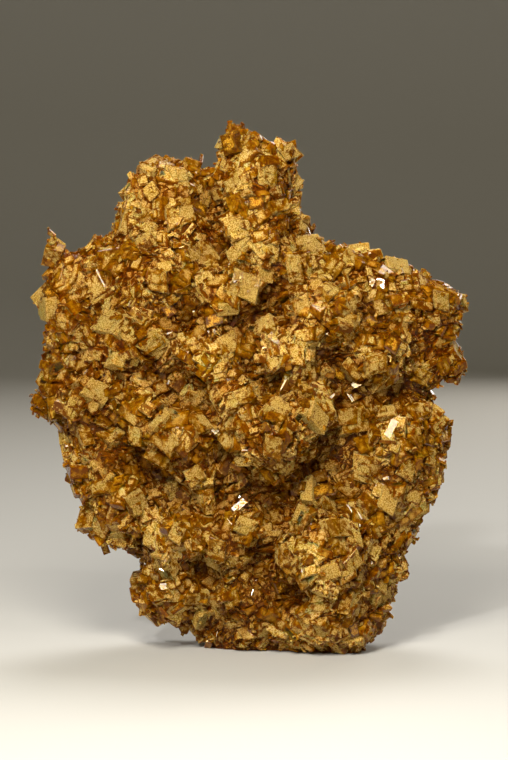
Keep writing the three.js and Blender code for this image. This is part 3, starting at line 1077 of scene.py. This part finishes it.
class GrowthTree(Sheet):
    """The geometry node tree that seats a coat's crystals, with a named input for each of the coat's sizes."""

    BARE_EDGE: Span = (0.4, 0.6)
    CROWDING = 2.5  # how many seats are tried in each square of the spacing
    SPIN_KINDS, OWN_KINDS = 3.0, 5.0  # how often a turn goes round as the shared number goes from 0 to 1
    STEP_OUT = 0.02 * MM
    SEARCH = 4 * MM  # how far out an older crystal is looked for
    HANG = 0.3  # how far a crystal reaches below its seat, as a share of its size
    SIDES = {Draw.LENGTH: (0.95, 1.5), Draw.WIDTH: (0.75, 1.1), Draw.HEIGHT: (0.65, 1.35)}

    def __init__(self, name: str, inputs: dict[str, str]) -> None:
        """Makes the tree and its sockets, with more inputs of these names and kinds."""
        super().__init__(bpy.data.node_groups.new(name, "GeometryNodeTree"))
        self.declare(INPUT={"Geometry": "Geometry"} | inputs, OUTPUT={"Geometry": "Geometry"})

    def draw(self, number: Draw, low: float = 0.0, high: float = 1.0) -> Socket:
        """A random number for each crystal."""
        values = {"Min_001": low, "Max_001": high, "Seed": self.total(self["seed"], float(number))}
        return self.out("FunctionNodeRandomValue", "Value_001", values, data_type="FLOAT")

    def partly(self, own: Socket, common: Socket) -> Socket:
        """A number that a crystal partly shares with its neighbours."""
        alone = self.product(own, self.maths("SUBTRACT", 1.0, self["likeness"]))
        return self.total(self.product(common, self["likeness"]), alone)

    def turned(self, rotation: Socket, x: object, z: object) -> Socket:
        """Turns a rotation about its own axes.

        Args:
            rotation: the rotation.
            x: how far it is turned about X.
            z: how far it is turned about Z.

        Returns:
            The turned rotation.
        """
        step = self.out("FunctionNodeEulerToRotation", "Rotation", {"Euler": self.joined(x, 0.0, z)})
        values = {"Rotation": rotation, "Rotate By": step}
        return self.out("FunctionNodeRotateRotation", "Rotation", values, rotation_space="LOCAL")

    def ground(self) -> Socket:
        """Joins the crust and the older crystals, which both carry how densely new ones grow.

        Returns:
            What the crystals grow on.
        """
        patch = self.noise(self.out("GeometryNodeInputPosition", "Position"), self["bare_patch"], detail=1.0)
        kept = self.span(patch, *self.BARE_EDGE, 1.0, self.maths("SUBTRACT", 1.0, self["bareness"]))
        older = self.out("GeometryNodeCollectionInfo", "Instances", {"Collection": self["over"]})
        older = self.out("GeometryNodeRealizeInstances", "Geometry", {"Geometry": older})
        older = self.stored(older, Trait.GROW.value, self.product(kept, self["on_older"]))
        join = self.add("GeometryNodeJoinGeometry")
        for part in (older, self["Geometry"]):
            self.tree.links.new(part, join.inputs[0])
        return join.outputs[0]

    def size(self, place: Socket) -> Socket:
        """Draws each crystal's size: small ones are common, and patches have larger or smaller ones.

        Args:
            place: where the crystals are.

        Returns:
            The size.
        """
        swing = self.swing(self.noise(place, self["patch"], detail=1.0), CORE, reach=1.0)
        patched = self.total(1.0, self.product(swing, self["patch_effect"]))
        pick = self.maths("POWER", self.draw(Draw.SIZE), self["rarity"])
        more = self.product(pick, self.maths("SUBTRACT", self["largest"], self["smallest"]))
        return self.product(self.total(self["smallest"], more), patched)

    def pose(self, place: Socket, facing: Socket) -> tuple[Socket, Socket]:
        """Lays each crystal flat or stands it on its edge, much as its neighbours are.

        Args:
            place: where the crystals are.
            facing: the rotation that faces out of the ground.

        Returns:
            The crystal's rotation, and how far it is lifted as a share of its size.
        """
        values = {"Vector": place, "Scale": self.maths("DIVIDE", 1.0, self["cluster"])}
        shared = self.split(self.out("ShaderNodeTexVoronoi", "Color", values))
        lying = self.maths("LESS_THAN", self.partly(self.draw(Draw.LYING), shared[0]), self["lying_share"])
        standing = self.maths("SUBTRACT", 1.0, lying)
        leaning = self.partly(self.draw(Draw.TILT), shared[1])
        low = self.product(leaning, self["lying_tilt"])
        high = self.span(leaning, *WHOLE, self["standing_tilt"], math.pi / 2)
        tilt, lift = (
            self.total(self.product(lying, when_lying), self.product(standing, when_standing))
            for when_lying, when_standing in ((low, high), (self["lying_lift"], self["standing_lift"]))
        )
        spin, own = (
            self.product(self.partly(self.draw(number), self.product(common, kinds)), math.tau)
            for number, common, kinds in (
                (Draw.SPIN, shared[2], self.SPIN_KINDS), (Draw.OWN_SPIN, shared[0], self.OWN_KINDS),
            )
        )
        rotation = self.turned(facing, 0.0, spin)
        rotation = self.turned(rotation, tilt, 0.0)
        return self.turned(rotation, 0.0, own), lift

    def free(self, ground: Socket, place: Socket, outward: Socket, size: Socket) -> Socket:
        """Says which seats are clear of the floor and not inside an older crystal.

        Args:
            ground: what the crystals grow on.
            place: where the seats are.
            outward: the ground's normal there.
            size: the crystals' size.

        Returns:
            1 where a crystal may grow.
        """
        start = self.vectors("ADD", place, self.vectors("SCALE", outward, self.STEP_OUT))
        values = {"Target Geometry": ground, "Source Position": start}
        values |= {"Ray Direction": outward, "Ray Length": self.SEARCH}
        ray = self.add("GeometryNodeRaycast", values).outputs
        leaving = self.vectors("DOT_PRODUCT", self.find(ray, "Hit Normal"), outward)
        buried = self.product(self.find(ray, "Is Hit"), self.maths("GREATER_THAN", leaving, 0.0))
        low = self.total(self.product(size, self.HANG), self["floor"])
        high_enough = self.maths("GREATER_THAN", self.split(place)[2], low)
        return self.product(high_enough, self.maths("SUBTRACT", 1.0, buried))

    def build(self, kinds: int) -> bpy.types.NodeTree:
        """Puts the tree together.

        Args:
            kinds: how many patterns there are.

        Returns:
            The tree.
        """
        ground = self.ground()
        spacing = self["spacing"]
        values = {
            "Mesh": ground,
            "Distance Min": spacing,
            "Density Max": self.maths("DIVIDE", self.CROWDING, self.product(spacing, spacing)),
            "Density Factor": self.named(Trait.GROW.value),
            "Seed": self["seed"],
        }
        seats = self.add("GeometryNodeDistributePointsOnFaces", values, distribute_method="POISSON").outputs
        points, outward, facing = (self.find(seats, name) for name in ("Points", "Normal", "Rotation"))
        place = self.out("GeometryNodeInputPosition", "Position")
        size = self.size(place)
        rotation, lift = self.pose(place, facing)
        points = self.stored(points, "size", size)
        points = self.stored(points, "free", self.free(ground, place, outward, size))
        away = self.vectors("SCALE", outward, self.product(size, lift))
        moved = self.out("GeometryNodeSetPosition", "Geometry", {"Geometry": points, "Offset": away})
        shape = self.joined(*(self.draw(side, *limits) for side, limits in self.SIDES.items()))
        values = {"Collection": self["patterns"], "Separate Children": True, "Reset Children": True}
        choices = self.out("GeometryNodeCollectionInfo", "Instances", values)
        values = {"Min_002": 0, "Max_002": kinds - 1, "Seed": self["seed"]}
        index = self.out("FunctionNodeRandomValue", "Value_002", values, data_type="INT")
        values = {
            "Points": moved,
            "Selection": self.named("free"),
            "Instance": choices,
            "Pick Instance": True,
            "Instance Index": index,
            "Rotation": rotation,
            "Scale": self.vectors("SCALE", shape, self.named("size")),
        }
        grown = self.out("GeometryNodeInstanceOnPoints", "Instances", values)
        grown = self.stored(grown, Trait.TINT.value, self.draw(Draw.TINT), "INSTANCE")
        real = self.out("GeometryNodeRealizeInstances", "Geometry", {"Geometry": grown})
        spot = self.split(place)
        cut = self.joined(spot[0], spot[1], self.maths("MAXIMUM", spot[2], self["level"]))
        real = self.out("GeometryNodeSetPosition", "Geometry", {"Geometry": real, "Position": cut})
        target = {"Target": self["Geometry"]}
        depth = self.out("GeometryNodeProximity", "Distance", target, target_element="FACES")
        values = {"Geometry": self.stored(real, Trait.PROUD.value, depth), "Material": self["finish"]}
        self.add("NodeGroupOutput", {"Geometry": self.out("GeometryNodeSetMaterial", "Geometry", values)})
        return self.tree


@dataclass
class CrystalCoat:
    """One coat of crystals, seated over the surface by Geometry Nodes.

    Lengths are in metres, angles in radians, and lifts are shares of a crystal's size.

    Attributes:
        rarity: how rare large crystals are among small ones.
        floor, level: the least height of a seat's lowest point, and where the crystals are cut off.
        patch, patch_effect: how wide patches of larger crystals are, and how much larger.
        cluster, likeness: how wide groups of like crystals are, and how alike.
        bareness, bare_patch: how bare the bare patches are, and how wide.
        over, on_older: the older crystals, and how densely these ones grow on them.
    """

    name: str
    patterns: bpy.types.Collection
    finish: bpy.types.Material
    spacing: float
    smallest: float
    largest: float
    seed: int
    lying_share: float = 0.4
    lying_tilt: float = math.radians(45)
    standing_tilt: float = math.radians(50)
    rarity: float = 2.0
    lying_lift: float = 0.1
    standing_lift: float = 0.0
    floor: float = 0.2 * MM
    patch: float = 9 * MM
    patch_effect: float = 0.35
    cluster: float = 4 * MM
    likeness: float = 0.8
    bareness: float = 0.0
    bare_patch: float = 5 * MM
    on_older: float = 0.0
    level: float = 0.03 * MM
    over: bpy.types.Collection | None = None

    OTHERS = {"seed": "Int", "patterns": "Collection", "over": "Collection", "finish": "Material"}

    def build(self, surface: bpy.types.Object) -> bpy.types.Object:
        """Grows the coat and makes it a plain mesh.

        Args:
            surface: what the crystals grow on.

        Returns:
            The coat's object.
        """
        carrier = placed(surface.data)
        modifier = carrier.modifiers.new("growth", "NODES")
        names = [size.name for size in fields(self) if size.name != "name"]
        sizes = {name: self.OTHERS.get(name, "Float") for name in names}
        modifier.node_group = GrowthTree(f"{self.name} growth", sizes).build(len(self.patterns.objects))
        for item in modifier.node_group.interface.items_tree:
            if item.name in sizes:
                modifier[item.identifier] = getattr(self, item.name)
        return placed(evaluated(carrier, self.name))


@dataclass(frozen=True)
class Lamp:
    """A soft square lamp, with its side in metres and its power in watts."""

    name: str
    place: tuple[float, float, float]
    size: float
    power: float
    colour: Colour = (1.0, 1.0, 1.0)


@dataclass
class Studio:
    """The plain pale floor, which bends up into a backdrop, the soft lights and the camera."""

    lens: float = 120.0
    sensor: float = 36.0
    distance: float = 0.562
    elevation: float = math.radians(3.0)
    aim: tuple[float, float, float] = (0.0009, 0.0, 0.0605)
    floor_colour: Colour = (0.50, 0.485, 0.45)
    floor_rough: float = 0.7
    half_width: float = 3.0
    front: float = -3.0
    back: float = 1.2
    bend: float = 0.4
    top: float = 3.0
    bend_steps: int = 16
    lit: tuple[float, float, float] = (0.0, 0.0, 0.06)
    lamps: tuple[Lamp, ...] = (
        Lamp("key", (-0.025, -0.225, 0.205), 0.08, 1.05, (1.0, 0.96, 0.86)),
        Lamp("fill", (0.5, -0.6, 0.35), 0.5, 0.1, (1.0, 0.97, 0.72)),
        Lamp("top", (0.05, 0.32, 0.75), 0.30, 3.5),
        Lamp("back", (0.5, 0.9, 0.4), 0.5, 4.0, (1.0, 0.95, 0.88)),
        Lamp("spark left", (-0.22, -0.85, 0.50), 0.05, 4.4),
        Lamp("spark right", (0.5, -0.75, 0.6), 0.04, 0.9),
        Lamp("spark low", (-0.75, -0.75, 0.15), 0.04, 0.6),
    )
    sky: Colour = (1.0, 0.80, 0.34)
    sky_strength: float = 0.085

    def camera(self) -> None:
        """Puts the camera at the photograph's angle."""
        data = bpy.data.cameras.new("camera")
        data.lens = self.lens
        data.sensor_width = self.sensor
        aim = Vector(self.aim)
        back_and_up = Vector((0.0, -math.cos(self.elevation), math.sin(self.elevation)))
        bpy.context.scene.camera = placed(data, aim + self.distance * back_and_up, aim)

    def sweep(self) -> None:
        """Makes the floor, which turns up into a backdrop behind."""
        mesh = bmesh.new()
        turns = [math.pi / 2 * (i + 1) / self.bend_steps for i in range(self.bend_steps)]
        profile = [(self.front, 0.0), (self.back, 0.0)]
        profile += [(self.back + self.bend * math.sin(a), self.bend * (1 - math.cos(a))) for a in turns]
        profile.append((self.back + self.bend, self.top))
        lines = [[mesh.verts.new((x, y, z)) for x in (-self.half_width, self.half_width)] for y, z in profile]
        for near, far in zip(lines, lines[1:]):
            mesh.faces.new((near[0], near[1], far[1], far[0]))
        data = mesh_data("floor", mesh)
        for polygon in data.polygons:
            polygon.use_smooth = True
        floor = placed(data)
        material = bpy.data.materials.new("floor")
        material.use_nodes = True
        shader = material.node_tree.nodes["Principled BSDF"]
        shader.inputs["Base Color"].default_value = solid(self.floor_colour)
        shader.inputs["Roughness"].default_value = self.floor_rough
        data.materials.append(material)

    def build(self) -> None:
        """Sets up the whole studio."""
        self.camera()
        self.sweep()
        for lamp in self.lamps:
            data = bpy.data.lights.new(lamp.name, "AREA")
            data.size, data.energy, data.color = lamp.size, lamp.power, lamp.colour
            placed(data, Vector(lamp.place), Vector(self.lit))
        world = bpy.data.worlds.new("world")
        world.use_nodes = True
        sky = world.node_tree.nodes["Background"].inputs
        sky["Color"].default_value = solid(self.sky)
        sky["Strength"].default_value = self.sky_strength
        bpy.context.scene.world = world
        bpy.context.scene.view_settings.view_transform = "Standard"


def keep(piece: bpy.types.Object, replaces: bool = False) -> None:
    """Makes a finished piece ride with the specimen, and reports it.

    Args:
        piece: the piece, in place.
        replaces: whether it stands for the frame's own solid.
    """
    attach(piece, BODY)
    if replaces:
        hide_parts(CLUSTER)
    triangles = sum(len(polygon.vertices) - 2 for polygon in piece.data.polygons)
    log.info("%s: %d triangles", piece.name, triangles)


def main() -> None:
    """Builds the specimen and its studio."""
    logging.basicConfig(level=logging.INFO, format="%(name)s: %(message)s")
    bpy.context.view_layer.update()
    Studio().build()
    faces = FrameFaces()
    baryte = BaryteFinish("baryte").material()
    roots = BaryteFinish(
        "baryte roots",
        sand_light=(0.46, 0.30, 0.11), sand_mid=(0.34, 0.20, 0.045), sand_dark=(0.21, 0.105, 0.012),
        shine=0.15, smooth=0.4, mosaic=2.6 * MM, cloud=2.5 * MM, seam=0.15, step=0.6, lean=4.0, wet=0.1,
        grain_height=0.25 * MM,
    ).material()
    even = BaryteFinish(
        "baryte plates",
        sand_light=(0.44, 0.295, 0.10), sand_mid=(0.375, 0.235, 0.050), sand_dark=(0.21, 0.112, 0.009),
        mosaic=1.8 * MM, seam=0.0, step=0.0, lean=0.25, grain=0.26 * MM, shine=0.07, wet=0.08,
    ).material()
    glassy = BaryteFinish(
        "clear baryte",
        # the clear crystals' sand colours are a painted glow, brightest in each crystal's middle and fading
        # towards its amber rim
        sand_light=(0.70, 0.38, 0.03), sand_mid=(0.55, 0.25, 0.010), sand_dark=(0.36, 0.13, 0.003),
        smooth=0.05, matt=0.08, glow=0.9, gloss=(1.0, 0.95, 0.85), shine=0.35,
        clear=0.2, passed=(0.95, 0.72, 0.1), density=150.0,
    ).material()
    crust = Crust().build(faces, roots)
    pieces = [LargePlates().build(faces, even)]
    grown = bpy.data.collections.new("grown")
    grown.objects.link(pieces[0])
    patterns = CrystalPatterns()
    blocks, tablets, grains = patterns.blocks(), patterns.tablets(), patterns.grains()
    for coat in (
        CrystalCoat(
            "plate_crystals", blocks, even, 3.9 * MM, 1.8 * MM, 4.0 * MM, 51, rarity=1.5, patch_effect=0.2,
            lying_share=0.8, lying_tilt=math.radians(35), lying_lift=0.09, likeness=0.3,
        ),
        CrystalCoat(
            "block_crystals", blocks, baryte, 1.65 * MM, 1.6 * MM, 4.0 * MM, 11, over=grown,
            lying_share=0.7, lying_lift=0.0,
        ),
        CrystalCoat(
            "tablet_crystals", tablets, baryte, 1.0 * MM, 0.8 * MM, 1.9 * MM, 23, over=grown,
            standing_lift=0.15, bareness=0.8, on_older=0.12,
        ),
        CrystalCoat(
            "grain_crystals", grains, baryte, 0.76 * MM, 0.4 * MM, 1.1 * MM, 37, over=grown,
            standing_lift=0.2, bareness=0.9, bare_patch=3 * MM, on_older=0.2,
        ),
    ):
        pieces.append(coat.build(crust))
        grown.objects.link(pieces[-1])
    pieces.append(ClearCrystals().build(crust, glassy))
    for group in (blocks, tablets, grains):
        for pattern in list(group.objects):
            bpy.data.objects.remove(pattern)
        bpy.data.collections.remove(group)
    bpy.data.collections.remove(grown)
    keep(crust, replaces=True)
    for piece in pieces:
        keep(piece)


if __name__ == "__main__":
    main()
